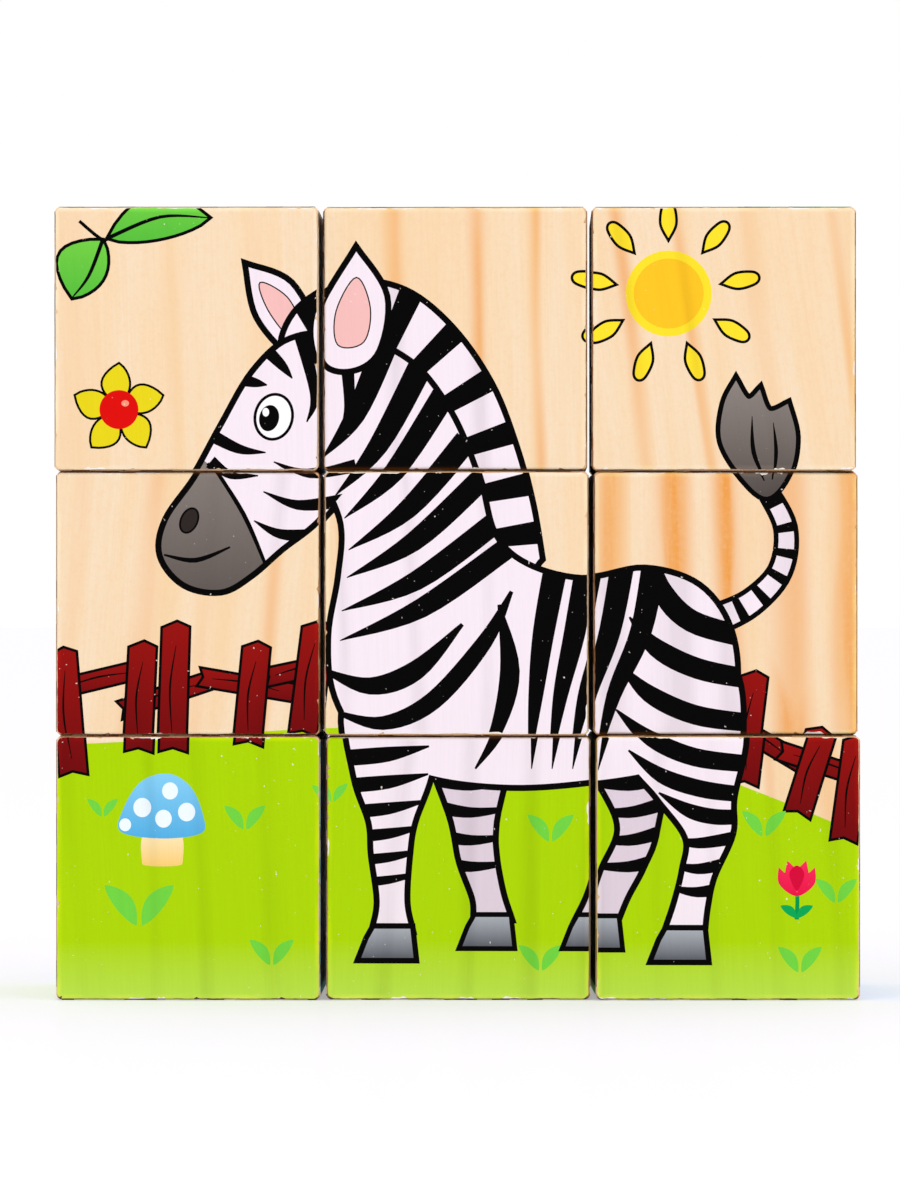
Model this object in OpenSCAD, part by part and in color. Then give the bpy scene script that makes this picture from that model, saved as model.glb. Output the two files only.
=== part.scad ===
// Picture cube puzzle: nine loose cubes stacked as a wall, three cubes wide and three high.
// Each cube is a pine block with a thin printed film on each of its six faces, and each of
// the six faces carries one ninth of a different picture.
// The origin is on the ground under the middle of the wall. X runs to the right along the
// front picture, Y runs from the front picture to the back one, and Z is up.

/* [Cubes] */
// Side of a finished cube, measured over the printed films
cube_side = 40; // [30:1:60]
// Radius of the block's rounded edges
edge_radius = 0.7; // [0.5:0.1:4]
// Thickness of the printed film on each face
film_thickness = 0.1; // [0.05:0.05:0.3]
// Radius of the printed film's corners
film_corner_radius = 0.8; // [0.2:0.1:3]

/* [Wall] */
// Mean gap between neighbouring columns
column_gap = 0.62; // [0.6:0.02:3]
// How unevenly the cubes are set down: 0 is a perfect wall, 1 is stacked by hand
unevenness = 1; // [0:0.1:1]

/* [Hidden] */
ROWS = ["top", "middle", "bottom"];
COLUMNS = ["left", "centre", "right"];
LAST = len(ROWS) - 1;
MIDDLE_COLUMN = 1;

// How each cube is set down by hand, one row of the wall per line from the top row down and
// left to right in it: its shift in X, its shift in Y, and its turn about Z in degrees
SET_DOWN = [
    [[-0.08, -0.2, -0.6], [-0.03, 0.3, -0.8], [-0.02, 0.0, -0.8]],
    [[0.07, 0.2, -0.4], [0.00, -0.3, -0.3], [-0.12, 0.3, 0.3]],
    [[0.17, 0.0, -0.6], [0.25, 0.2, -0.2], [0.18, -0.3, 0.5]]
];
SHIFT_X = 0;
SHIFT_Y = 1;
TURN = 2;

// The pieces of one cube, each with its colour and the turns that take the top face's film
// to the faces that it covers. The block has no film, so its list is empty.
PIECES = [
    ["block", "burlywood", []],
    ["front_print", "yellowgreen", [[90, 0, 0]]],
    ["back_print", "skyblue", [[-90, 0, 0]]],
    ["top_print", "gold", [[0, 0, 0]]],
    ["bottom_print", "lightsalmon", [[180, 0, 0]]],
    ["side_prints", "mediumaquamarine", [[0, -90, 0], [0, 90, 0]]]
];
PIECE_NAME = 0;
PIECE_COLOUR = 1;
PIECE_FACES = 2;

block_side = cube_side - 2 * film_thickness;
film_side = block_side - 2 * edge_radius;
column_pitch = cube_side + column_gap;
$fn = 48;

function node_name(row, column, piece) =
    str(ROWS[row], "_", COLUMNS[column], "_", piece[PIECE_NAME]);

// Where a cube stands before the wall is centred, and how far its films reach from there
function turn(row, column) = unevenness * SET_DOWN[row][column][TURN];
function loose_x(row, column) =
    (column - MIDDLE_COLUMN) * column_pitch + unevenness * SET_DOWN[row][column][SHIFT_X];
function loose_y(row, column) = unevenness * SET_DOWN[row][column][SHIFT_Y];
function reach(row, column) =
    cube_side / 2 * cos(turn(row, column)) + film_side / 2 * abs(sin(turn(row, column)));

// The middle of the wall's own box, which the origin stands under
function middle_of(lows, highs) = (min(lows) + max(highs)) / 2;
wall_middle_x = middle_of(
    [for (row = [0:LAST], column = [0:LAST]) loose_x(row, column) - reach(row, column)],
    [for (row = [0:LAST], column = [0:LAST]) loose_x(row, column) + reach(row, column)]
);
wall_middle_y = middle_of(
    [for (row = [0:LAST], column = [0:LAST]) loose_y(row, column) - reach(row, column)],
    [for (row = [0:LAST], column = [0:LAST]) loose_y(row, column) + reach(row, column)]
);

// Puts a cube that was drawn round the origin in its place in the wall
module in_place(row, column) {
    translate([
        loose_x(row, column) - wall_middle_x,
        loose_y(row, column) - wall_middle_y,
        (LAST - row + 0.5) * cube_side
    ])
        rotate([0, 0, turn(row, column)])
            children();
}

// A square with round corners, drawn round the origin
module rounded_square(side, radius) {
    inner = side - 2 * radius;
    square([side, inner], center = true);
    square([inner, side], center = true);
    for (x = [-inner / 2, inner / 2], y = [-inner / 2, inner / 2])
        translate([x, y])
            circle(r = radius);
}

// The pine block: three crossed slabs, with a round bar along each edge and a ball at each corner
module block() {
    inner = block_side - 2 * edge_radius;
    corner = inner / 2;
    cube([block_side, inner, inner], center = true);
    cube([inner, block_side, inner], center = true);
    cube([inner, inner, block_side], center = true);
    for (axis_turn = [[0, 0, 0], [90, 0, 0], [0, 90, 0]])
        rotate(axis_turn)
            for (x = [-corner, corner], y = [-corner, corner])
                translate([x, y, 0])
                    cylinder(h = inner, r = edge_radius, center = true);
    for (x = [-corner, corner], y = [-corner, corner], z = [-corner, corner])
        translate([x, y, z])
            sphere(r = edge_radius);
}

// One printed film, lying on the flat part of the top face
module film() {
    translate([0, 0, block_side / 2])
        linear_extrude(height = film_thickness)
            rounded_square(film_side, film_corner_radius);
}

// One piece of one cube: its block, or its films on the faces that they cover
module cube_piece(row, column, piece) {
    color(piece[PIECE_COLOUR])
        in_place(row, column) {
            if (len(piece[PIECE_FACES]) == 0)
                block();
            for (face = piece[PIECE_FACES])
                rotate(face)
                    film();
        }
}

for (row = [0:LAST], column = [0:LAST], piece = PIECES)
    cube_piece(row, column, piece);
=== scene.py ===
"""A picture cube puzzle: nine pine cubes with a printed film on each of their six faces.

Each of the six faces carries one ninth of a picture of its own. A picture is drawn as a list
of shapes, and each film is a thin sheet of mesh that is cut along the outlines on it, so that
the ink's edges are real edges. The films wrap a little way round the block's rounded edges.
"""

import math
import random

import bpy
import numpy as np
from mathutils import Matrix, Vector
from mathutils.geometry import delaunay_2d_cdt


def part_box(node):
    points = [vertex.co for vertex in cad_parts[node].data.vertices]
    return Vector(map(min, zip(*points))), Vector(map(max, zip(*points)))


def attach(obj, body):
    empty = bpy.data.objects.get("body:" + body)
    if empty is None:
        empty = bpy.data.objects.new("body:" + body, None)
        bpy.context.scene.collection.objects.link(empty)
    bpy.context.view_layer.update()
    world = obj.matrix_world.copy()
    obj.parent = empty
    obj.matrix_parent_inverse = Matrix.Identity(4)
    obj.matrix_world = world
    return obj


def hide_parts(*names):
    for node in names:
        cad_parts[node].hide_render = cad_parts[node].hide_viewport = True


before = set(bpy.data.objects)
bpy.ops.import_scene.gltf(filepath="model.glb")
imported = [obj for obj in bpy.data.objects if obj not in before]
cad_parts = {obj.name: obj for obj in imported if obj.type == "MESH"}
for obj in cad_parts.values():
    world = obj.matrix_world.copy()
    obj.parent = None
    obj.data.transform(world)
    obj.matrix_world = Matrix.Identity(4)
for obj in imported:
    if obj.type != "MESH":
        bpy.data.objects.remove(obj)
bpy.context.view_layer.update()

ROWS = ("top", "middle", "bottom")
COLUMNS = ("left", "centre", "right")
TILE = 40.0  # a cube's side in the pictures, in millimetres

# ---- drawing kit
# A picture is 120 mm square: x runs from -60 to 60 and y from 0 to 120, and a shape is an
# outline of points in millimetres. Later shapes cover earlier ones.


def curve(*points, closed=True, steps=7):
    """A smooth outline through the points. A point given twice in a row makes a corner."""
    p = np.array(points, float)
    count = len(p) if closed else len(p) - 1
    share = np.arange(steps)[:, None] / steps
    runs = []
    for i in range(count):
        if closed:
            a, b, c, d = (p[(i + k) % len(p)] for k in (-1, 0, 1, 2))
        else:
            a, b, c, d = (p[min(max(i + k, 0), len(p) - 1)] for k in (-1, 0, 1, 2))
        if np.allclose(b, c):
            continue
        ease_in = (c - a) / 2
        ease_out = (d - b) / 2
        runs.append(
            (2 * share**3 - 3 * share**2 + 1) * b
            + (share**3 - 2 * share**2 + share) * ease_in
            + (3 * share**2 - 2 * share**3) * c
            + (share**3 - share**2) * ease_out
        )
    if not closed:
        runs.append(p[-1:])
    return np.vstack(runs)


def straight(*points):
    """An outline with straight sides."""
    return np.array(points, float)


def oval(x, y, wide, tall, turn=0.0, points=36):
    """An ellipse round (x, y), turned anticlockwise by turn degrees."""
    angle = np.linspace(0, 2 * math.pi, points, endpoint=False)
    return turned(np.c_[wide * np.cos(angle), tall * np.sin(angle)], turn) + (x, y)


def turned(outline, degrees):
    """The outline turned anticlockwise about (0, 0)."""
    c, s = math.cos(math.radians(degrees)), math.sin(math.radians(degrees))
    return np.asarray(outline, float) @ np.array([[c, s], [-s, c]])


def moved(outline, x=0.0, y=0.0, size=1.0, turn=0.0):
    """The outline scaled, turned about (0, 0) and then shifted."""
    return turned(np.asarray(outline, float) * size, turn) + (x, y)


def stroke(spine, widths, smooth=True):
    """A brush stroke along a line, as wide at each of its points as widths says."""
    spine = np.array(spine, float)
    widths = np.interp(
        np.linspace(0, 1, len(spine)), np.linspace(0, 1, len(widths)), widths
    )
    if smooth:
        line = curve(*np.c_[spine, widths], closed=False, steps=6)
        spine, widths = line[:, :2], line[:, 2]
    along = np.gradient(spine, axis=0)
    along /= np.linalg.norm(along, axis=1, keepdims=True) + 1e-12
    across = np.c_[-along[:, 1], along[:, 0]] * widths[:, None] / 2
    return np.vstack([spine + across, (spine - across)[::-1]])


def leaf(base, tip, wide, bend=0.0, points=12):
    """A leaf pointed at both ends, as wide as wide at its middle, bowed sideways by bend."""
    base, tip = np.array(base, float), np.array(tip, float)
    share = np.linspace(0, 1, points)[:, None]
    side = np.array([-(tip - base)[1], (tip - base)[0]]) / np.linalg.norm(tip - base)
    middle = base + share * (tip - base) + np.sin(math.pi * share) * side * bend
    half = np.sin(math.pi * share) ** 0.8 * side * wide / 2
    return np.vstack([middle + half, (middle - half)[-2:0:-1]])


def area_of(outline):
    """The outline's area, positive if it runs anticlockwise."""
    x, y = outline[:, 0], outline[:, 1]
    return float(np.sum(x * np.roll(y, -1) - y * np.roll(x, -1))) / 2


def grown(outline, by):
    """The outline moved outwards by a line's width."""
    if area_of(outline) < 0:
        outline = outline[::-1]
    before = outline - np.roll(outline, 1, axis=0)
    after = np.roll(outline, -1, axis=0) - outline
    before /= np.linalg.norm(before, axis=1, keepdims=True) + 1e-12
    after /= np.linalg.norm(after, axis=1, keepdims=True) + 1e-12
    outward = np.c_[before[:, 1] + after[:, 1], -before[:, 0] - after[:, 0]]
    length = np.linalg.norm(outward, axis=1, keepdims=True)
    reach = 2 / np.maximum(length, 1.0)  # a sharp corner reaches out by at most twice the line
    return outline + outward / (length + 1e-12) * by * reach


def ink(red, green, blue, cover=1.0):
    """A printed colour, given as a screen shows it, and how much of the wood it covers."""
    screen = np.array([red, green, blue]) / 255
    linear = np.where(screen <= 0.04045, screen / 12.92, ((screen + 0.055) / 1.055) ** 2.4)
    return (*linear, cover)


BLACK = ink(1, 0, 0)
WHITE = ink(246, 233, 243, 0.97)


class Shape:
    """An outline with its ink: one colour at the height foot and one at the height head."""

    def __init__(self, outline, low, high, within, foot=0.0, head=1.0):
        self.outline = outline
        self.low, self.high = low, high
        self.foot, self.head = foot, head
        self.within = within


class Picture:
    """Shapes in the order that they are printed."""

    def __init__(self):
        self.shapes = []

    def fill(self, outline, low, high=None, line=0.0, within=None):
        """One shape with a black line round it, kept to the shapes in within if that is given."""
        return self.group([(outline, low, high or low)], line, within)[0]

    def mark(self, spine, widths, colour=BLACK, line=0.0, within=None):
        """One brush stroke."""
        return self.fill(stroke(spine, widths), colour, line=line, within=within)

    def group(self, parts, line=0.0, within=None):
        """Shapes that touch, with one black line round them all and colours that run on."""
        if line:
            for outline, _, _ in parts:
                self.shapes.append(Shape(grown(outline, line), BLACK, BLACK, within))
        foot = min(outline[:, 1].min() for outline, _, _ in parts)
        head = max(outline[:, 1].max() for outline, _, _ in parts)
        made = [Shape(outline, low, high, within, foot, head) for outline, low, high in parts]
        self.shapes += made
        return made


# ---- what the pictures share

LEAF_GREEN = ink(114, 208, 68)
LEAF_SHADE = ink(86, 190, 60)
MEADOW_TOP = ink(171, 214, 0)
MEADOW_MIDDLE = ink(175, 215, 8)
MEADOW_FOOT = ink(190, 228, 84, 0.98)
SPROUT = ink(104, 212, 56, 0.96)
SUN_RIM = ink(255, 226, 44)
SUN = ink(255, 198, 36)
PINK = ink(244, 190, 186)
DARK_GREY = ink(84, 76, 72)
MID_GREY = ink(140, 130, 124)
HOOF_LIGHT = ink(168, 172, 180)
HOOF_DARK = ink(92, 94, 102)
FENCE_TOP = ink(150, 16, 12)
FENCE_LOW = ink(112, 6, 10)


def ground(picture, line, low, high):
    """A field or a sheet of water from the picture's foot up to the line."""
    edge = curve(*line, closed=False, steps=8)
    return picture.fill(np.vstack([edge, straight((66, -4), (-66, -4))]), low, high)


def meadow(picture, line):
    """A green field up to the line, paler towards the picture's foot."""
    ground(picture, line, MEADOW_MIDDLE, MEADOW_TOP)
    picture.fill(straight((-66, -2), (66, -2), (66, 9), (-66, 9)), MEADOW_FOOT, MEADOW_MIDDLE)


def sprout(picture, x, y, size=1.0, low=SPROUT):
    """Two blades of grass in a V."""
    for side in (-1, 1):
        blade = leaf((0.3 * side, 0), (3.9 * side, 4.6), 2.1, bend=0.45 * side)
        picture.fill(moved(blade, x, y, size), low)


def sun(picture, x, y, size=1.0, rays=9, turn=10.0):
    """A disc with short blunt rays round it."""
    for i in range(rays):
        ray = curve((8.4, 0), (8.4, 0), (10.5, 1.0), (13.0, 0.75), (13.7, 0), (13.0, -0.75), (10.5, -1.0))
        picture.fill(moved(ray, x, y, size, turn + 360 * i / rays), SUN_RIM, line=0.42)
    picture.fill(oval(x, y, 6.5 * size, 6.5 * size), SUN_RIM)
    picture.fill(oval(x, y, 5.3 * size, 5.3 * size), SUN)


def rail(picture, start, end, wide, line=0.42):
    """One fence board between two points, with uneven ends and a grain line."""
    start, end = np.array(start, float), np.array(end, float)
    along = (end - start) / np.linalg.norm(end - start)
    across = np.array([-along[1], along[0]]) * wide / 2
    board = straight(
        start - across,
        start + 0.6 * along,
        start + across * 0.9,
        end + across - 0.3 * along,
        end + 0.7 * along,
        end - across * 0.85,
    )
    picture.fill(board, FENCE_LOW, FENCE_TOP, line=line)
    middle = (start + end) / 2
    grain = [start * 0.75 + middle * 0.25, middle + across * 0.3, end * 0.7 + middle * 0.3]
    picture.mark(grain, [0.1, 0.3, 0.1])


def mushroom(picture, x, y, size=1.0):
    """A spotted mushroom."""
    stalk = curve((-2.6, 5.2), (-3.1, 1.0), (-2.2, 0.1), (2.2, 0.1), (3.1, 1.0), (2.6, 5.2))
    picture.fill(moved(stalk, x, y, size), ink(250, 206, 116), ink(255, 236, 190))
    cap = curve(
        (-6.2, 5.2), (-6.0, 8.4), (-3.2, 12.8), (1.0, 14.0), (4.4, 11.9), (6.2, 7.6), (5.9, 5.0), (0, 4.2),
    )
    cap = picture.fill(moved(cap, x, y, size), ink(84, 176, 228), ink(134, 208, 246))
    for sx, sy, r in (
        (-3.0, 8.9, 1.35), (1.2, 11.4, 1.2), (3.7, 8.2, 1.3), (0.2, 7.2, 1.25), (-5.6, 6.3, 0.9),
    ):
        picture.fill(moved(oval(sx, sy, r, r * 1.08), x, y, size), ink(240, 250, 255), within=[cap])


def tulip(picture, x, y, size=1.0):
    """A red tulip with two leaves."""
    picture.fill(moved(stroke([(0, 0), (0.1, 3.0), (0, 5.0)], [0.7, 0.6]), x, y, size), ink(0, 150, 80))
    for side in (-1, 1):
        blade = leaf((0, 0.2), (2.6 * side, 2.2), 1.4, bend=0.3 * side)
        picture.fill(moved(blade, x, y, size), ink(8, 168, 84))
    petals = straight((-2.9, 8.3), (-1.9, 7.4), (-1.5, 9.4), (0, 7.9), (1.5, 9.4), (1.9, 7.4), (2.9, 8.3))
    cup = np.vstack(
        [petals, curve((2.9, 8.3), (2.8, 5.6), (0, 3.7), (-2.8, 5.6), (-2.9, 8.3), closed=False)[1:-1]]
    )
    picture.fill(moved(cup, x, y, size), ink(234, 20, 70), ink(250, 44, 92))
    inner = curve((-1.2, 7.2), (0, 8.6), (1.2, 7.2), (0, 4.6))
    picture.fill(moved(inner, x, y, size), ink(214, 8, 58))


def flower(picture, x, y, size=1.0, petal=ink(232, 214, 26), heart=ink(222, 12, 8)):
    """A flower with five loose petals and a round heart."""
    for i in range(5):
        blade = leaf((1.0, 0), (7.2, 0), 4.2, bend=0.5)
        picture.fill(moved(blade, x, y, size, 18 + 72 * i), petal, line=0.35)
    picture.fill(oval(x, y, 3.1 * size, 3.1 * size), heart)
    picture.fill(oval(x + 1.0 * size, y + 1.0 * size, 0.6 * size, 0.5 * size), ink(255, 150, 120))


def twig(picture, x, y, size=1.0, turn=0.0):
    """Two leaves on a short twig."""
    for base, tip, wide, bend in (((0, 0), (-4.5, -8.5), 7.4, -1.0), ((1, 0.5), (16, 3.5), 6.4, 1.6)):
        blade = moved(leaf(base, tip, wide, bend), x, y, size, turn)
        picture.fill(blade, LEAF_SHADE, LEAF_GREEN, line=0.5)
        vein = stroke([base, (np.array(base) + tip) / 2 + (0.2, bend), tip], [0.6, 0.5, 0.2])
        picture.fill(moved(vein, x, y, size, turn), BLACK)
    stalk = stroke([(-3.5, 3.0), (0, 0.2), (1.6, 0.8)], [0.5, 0.5, 0.2])
    picture.fill(moved(stalk, x, y, size, turn), BLACK)


# ---- front: a zebra in a meadow


def zebra_coat():
    """The near side of the zebra, part by part."""
    trunk = curve(
        (-15, 99), (-7, 96.5), (-1, 89), (3, 79.5), (5.5, 70.5), (10.5, 65.8), (19, 63.6), (28, 65),
        (36, 62.5), (40.6, 56), (41.4, 47), (38, 38.5), (30, 35.2), (20, 33.4), (8, 32.6), (-4, 34),
        (-12.5, 38), (-17.8, 46), (-18.8, 55), (-17.4, 64), (-17, 72), (-20, 80), (-22, 90),
    )
    head = curve(
        (-17.5, 99.5), (-24, 99.8), (-29.5, 95), (-34.2, 87), (-38.6, 79), (-43, 72.6), (-43.8, 67.4),
        (-40.4, 63.2), (-35, 62.2), (-30.6, 64.6), (-26, 68.6), (-20.5, 73), (-15, 80), (-12, 90),
    )
    fore_leg = curve(
        (-16.5, 45), (-15.4, 34), (-13.1, 27), (-12.7, 22), (-11.8, 15), (-12.5, 10.8), (-12.5, 10.8),
        (-7.3, 10.8), (-7.3, 10.8), (-8.1, 15), (-7.7, 22), (-6.9, 27), (-4.4, 34), (-2, 45), (-9, 50),
    )
    hind_leg = curve(
        (41.2, 50), (42.4, 40), (40.6, 31), (40.4, 25.5), (37.6, 19), (36.6, 14.4), (36.2, 10.8),
        (36.2, 10.8), (31.0, 10.8), (31.0, 10.8), (32.4, 15), (33.6, 20), (34.0, 25), (29.6, 31),
        (24.5, 38), (26, 48), (34, 54),
    )
    return trunk, head, fore_leg, hind_leg


def hoof(x, y=10.8, wide=5.4):
    """A hoof that points to the left, under a leg whose foot is at (x, y)."""
    half = wide / 2
    return straight(
        (x - half, y), (x + half, y), (x + half + 0.5, y - 4.4), (x - half - 2.0, y - 4.4),
        (x - half - 0.9, y - 1.6),
    )


OUTLINE = 0.95  # how wide the zebra's black outline is


def far_legs(picture):
    """The two legs on the zebra's far side."""
    far_fore = curve(
        (-4, 40), (-0.6, 27), (0.6, 21), (2.6, 15.5), (2.8, 12.6), (2.8, 12.6), (7.6, 12.6), (7.6, 12.6),
        (6.4, 16.4), (5.4, 22), (5.4, 27), (7, 40),
    )
    far_hind = curve(
        (16, 40), (21.5, 32), (23.8, 26), (21.4, 20), (19.8, 15.5), (18.4, 12.6), (18.4, 12.6),
        (23.2, 12.6), (23.2, 12.6), (24.6, 16), (27, 20.6), (29, 26.4), (30, 40),
    )
    shade = ink(222, 206, 218)
    far = picture.group([(far_fore, shade, shade), (far_hind, shade, shade)], OUTLINE)
    for x, foot in ((5.2, far[0]), (20.8, far[1])):
        picture.fill(hoof(x, 12.6, 5.0), HOOF_DARK, HOOF_LIGHT, line=OUTLINE * 0.8)
    for y in (32.5, 28.4, 24.2, 20.2):
        picture.mark([(-4, y + 1.0), (2, y), (9, y + 0.8)], [2.2, 1.6, 0.4], within=[far[0]])
        picture.mark([(31, y + 1.8), (25, y + 0.2), (17, y + 0.6)], [2.2, 1.7, 0.4], within=[far[1]])


def tail_and_tuft(picture):
    """The raised tail with its bars, and the tuft at its end."""
    spine = curve((38.5, 57.5), (44, 60.2), (48.4, 65), (49.2, 71.5), (46.2, 77.5), closed=False)
    tail = picture.fill(stroke(spine, [3.6, 3.0, 2.5, 2.3, 1.9], smooth=False), WHITE, line=OUTLINE * 0.8)
    for i in (5, 9, 13, 17, 21, 25):
        along = spine[i + 1] - spine[i - 1]
        across = 2.5 * np.array([-along[1], along[0]]) / np.hypot(*along)
        bar = stroke([spine[i] - across, spine[i] + across], [1.7, 1.0], smooth=False)
        picture.fill(bar, BLACK, within=[tail])
    tuft = curve(
        (46.4, 76.2), (42.6, 79.2), (39.4, 84.6), (39.8, 90.2), (41.6, 93.8), (41.6, 93.8), (43.4, 91.0),
        (45.2, 92.4), (45.2, 92.4), (46.6, 89.2), (49.4, 90.2), (49.4, 90.2), (50.6, 85.2), (49.6, 79.8),
    )
    tuft = picture.fill(tuft, DARK_GREY, MID_GREY, line=OUTLINE * 0.8)
    picture.mark([(46.0, 78.6), (44.2, 83.0), (44.0, 88.4)], [0.2, 0.7, 0.1], within=[tuft])
    picture.mark([(47.2, 78.8), (47.6, 83.0), (47.2, 87.4)], [0.2, 0.6, 0.1], within=[tuft])


def far_ear_and_mane(picture):
    """The far ear, and the upright mane with its bars."""
    far_ear = curve((-23.5, 98), (-28.8, 103.6), (-30.4, 111), (-30.4, 111), (-24.2, 108.4), (-20.6, 101))
    picture.fill(far_ear, WHITE, line=OUTLINE)
    inner_ear = curve((-24.2, 100.6), (-27.4, 104.6), (-28.6, 108.6), (-24.6, 106.4), (-22.6, 102.0))
    picture.fill(inner_ear, PINK, line=0.2)
    mane = curve(
        (-25, 99), (-22.6, 104.6), (-15.6, 108.4), (-7.6, 107.2), (-0.6, 101.6), (5.2, 93.2), (8.8, 84),
        (11.2, 75), (12.6, 67), (12.6, 67), (9, 65), (3, 79), (-3, 91), (-12, 98.6), (-20, 99),
    )
    mane = picture.fill(mane, WHITE, line=OUTLINE)
    for x, y, turn in (
        (-20.6, 103, 118), (-14.6, 104.6, 92), (-8.2, 103.4, 66), (-2.2, 99, 44), (2.6, 92.4, 30),
        (5.6, 85, 18), (8.0, 77.6, 12), (10.0, 70.6, 8),
    ):
        bar = straight((-7, -1.25), (7, -2.0), (7, 2.0), (-7, 1.25))
        picture.fill(moved(bar, x, y, 1.0, turn), BLACK, within=[mane])


def neck_and_rump_stripes(picture, trunk, hind_leg):
    """Stripes down the neck, the belly, the rump and the hind leg."""
    crest = curve((-13, 100.5), (-6, 97), (-0.2, 89), (3.8, 79), (6.4, 70), (10, 66), closed=False)
    throat = curve((-21.5, 84), (-19.5, 76), (-17.5, 70), (-17.8, 63), (-19, 56), (-19, 48), closed=False)
    for i in range(7):
        a, b = crest[3 + 5 * i - i // 2], throat[3 + 5 * i - i // 2]
        middle = (a + b) / 2 + (0.5, -1.6)
        picture.mark([a, middle, a * 0.06 + b * 0.94], [3.9 - 0.1 * i, 3.0, 0.15], within=[trunk])
    for i in range(4):
        x = 14.5 + 4.7 * i
        bar = stroke(
            [(x + 1, 68), (x - 1.2, 56), (x - 2.4 - i, 46), (x - 3.4 - 1.6 * i, 35)],
            [3.7, 3.3, 2.2, 0.15],
        )
        picture.fill(bar, BLACK, within=[trunk])
    bands = (
        ((29.5, 68), (30.6, 62), (35, 57.4), (43, 55.0)),
        ((25.6, 58), (29.6, 53.4), (36, 50.2), (44, 48.6)),
        ((24.0, 51), (28.6, 46.4), (35.6, 43.2), (44, 42.0)),
        ((23.6, 44), (28.4, 39.8), (35.0, 37.0), (43, 36.0)),
        ((25.0, 38), (30.0, 34.2), (36.0, 32.2), (42, 31.4)),
        ((29.6, 31.6), (34.0, 29.0), (38.0, 28.0), (42, 28.0)),
    )
    for i, band in enumerate(bands):
        picture.mark(band, [0.3, 3.0 - 0.18 * i, 3.4 - 0.2 * i, 3.2 - 0.2 * i], within=[trunk, hind_leg])
    for y, slant in ((24.6, 0.6), (21.0, 0.9), (17.4, 0.8)):
        picture.mark([(31, y), (35.5, y - slant), (41, y + 0.2)], [0.5, 1.6, 2.0], within=[hind_leg])


def shoulder_stripes_and_hooves(picture, trunk, fore_leg):
    """Stripes on the shoulder and the fore leg, and the two near hooves."""
    shoulder = (
        ((-20, 50), (-13, 47.6), (-6, 50.0), (1, 57)),
        ((-18, 43.6), (-11, 42.0), (-3.4, 45.4), (4.4, 54.4), (8.4, 62)),
    )
    for band in shoulder:
        picture.mark(band, [0.6, 2.6, 3.0, 0.6], within=[trunk, fore_leg])
    picture.mark([(6.5, 60), (8.2, 50), (6.2, 41), (2.6, 35)], [0.5, 3.0, 2.0, 0.3], within=[trunk])
    for y in (37.2, 33.0, 29.0, 25.2, 21.6, 18.2):
        wide = 1.1 + (y - 14) * 0.05
        band = [(-17, y - 0.6), (-10.5, y), (-5.5 + y * 0.03, y + 1.2)]
        picture.mark(band, [wide * 1.1, wide, 0.3], within=[fore_leg])
    picture.fill(hoof(-9.9), HOOF_DARK, HOOF_LIGHT, line=OUTLINE * 0.9)
    picture.fill(hoof(33.6), HOOF_DARK, HOOF_LIGHT, line=OUTLINE * 0.9)


def zebra_face(picture, head):
    """The grey muzzle, the bands on the cheek and forehead, and the eye."""
    muzzle = curve((-48, 60), (-28, 58), (-28.4, 66), (-31.6, 73.6), (-37.4, 82), (-48, 84))
    muzzle = picture.fill(muzzle, DARK_GREY, MID_GREY, within=[head])
    picture.mark([(-28.0, 65.4), (-31.6, 73.6), (-36.6, 81.4)], [0.5, 0.7, 0.5], within=[head])
    picture.fill(oval(-39.8, 72.6, 1.1, 1.8, -24), ink(46, 38, 36), line=0.3)
    picture.mark([(-43.6, 67.4), (-38.8, 66.6), (-33.6, 68.6)], [0.3, 0.75, 0.3])
    cheek = (
        ((-26.6, 81.6), (-21.6, 79.8), (-15.0, 81.0)),
        ((-28.6, 77.0), (-23.4, 75.0), (-17.0, 75.6)),
        ((-30.0, 72.6), (-26.0, 70.6), (-20.0, 70.4)),
        ((-21.6, 87.6), (-20.4, 92.0), (-22.6, 101.0)),
        ((-17.6, 85.6), (-16.0, 90.0), (-16.4, 98.0)),
        ((-23.8, 94.2), (-25.4, 96.2), (-28.6, 99.4)),
        ((-27.6, 93.2), (-29.6, 93.6), (-33.4, 94.4)),
        ((-27.8, 83.0), (-32.0, 83.6), (-37.4, 86.4)),
        ((-29.4, 79.4), (-33.4, 79.6), (-36.2, 81.6)),
    )
    for band in cheek:
        picture.mark(band, [0.2, 1.5, 2.1], within=[head])
    picture.fill(oval(-26.6, 88.4, 2.6, 3.2, -12), ink(252, 250, 252), line=0.45)
    picture.fill(oval(-27.3, 88.2, 1.5, 2.0, -12), BLACK)
    picture.fill(oval(-27.8, 89.1, 0.5, 0.65), ink(255, 255, 255))


def near_ear(picture):
    """The ear in front of the mane."""
    ear = curve(
        (-19.6, 97), (-20.2, 104), (-14.8, 113.4), (-14.8, 113.4), (-10.6, 106.6), (-11.8, 98.6),
        (-15.6, 95.8),
    )
    picture.fill(ear, WHITE, line=OUTLINE)
    inner_ear = curve((-17.6, 99.4), (-17.8, 104.4), (-14.8, 109.4), (-12.8, 104.8), (-13.8, 99.8))
    picture.fill(inner_ear, PINK, line=0.2)


def zebra(picture):
    """A zebra that stands side on and looks to the left."""
    far_legs(picture)
    tail_and_tuft(picture)
    far_ear_and_mane(picture)
    coat = picture.group([(part, WHITE, WHITE) for part in zebra_coat()], OUTLINE)
    trunk, head, fore_leg, hind_leg = coat
    neck_and_rump_stripes(picture, trunk, hind_leg)
    shoulder_stripes_and_hooves(picture, trunk, fore_leg)
    zebra_face(picture, head)
    near_ear(picture)


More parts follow.
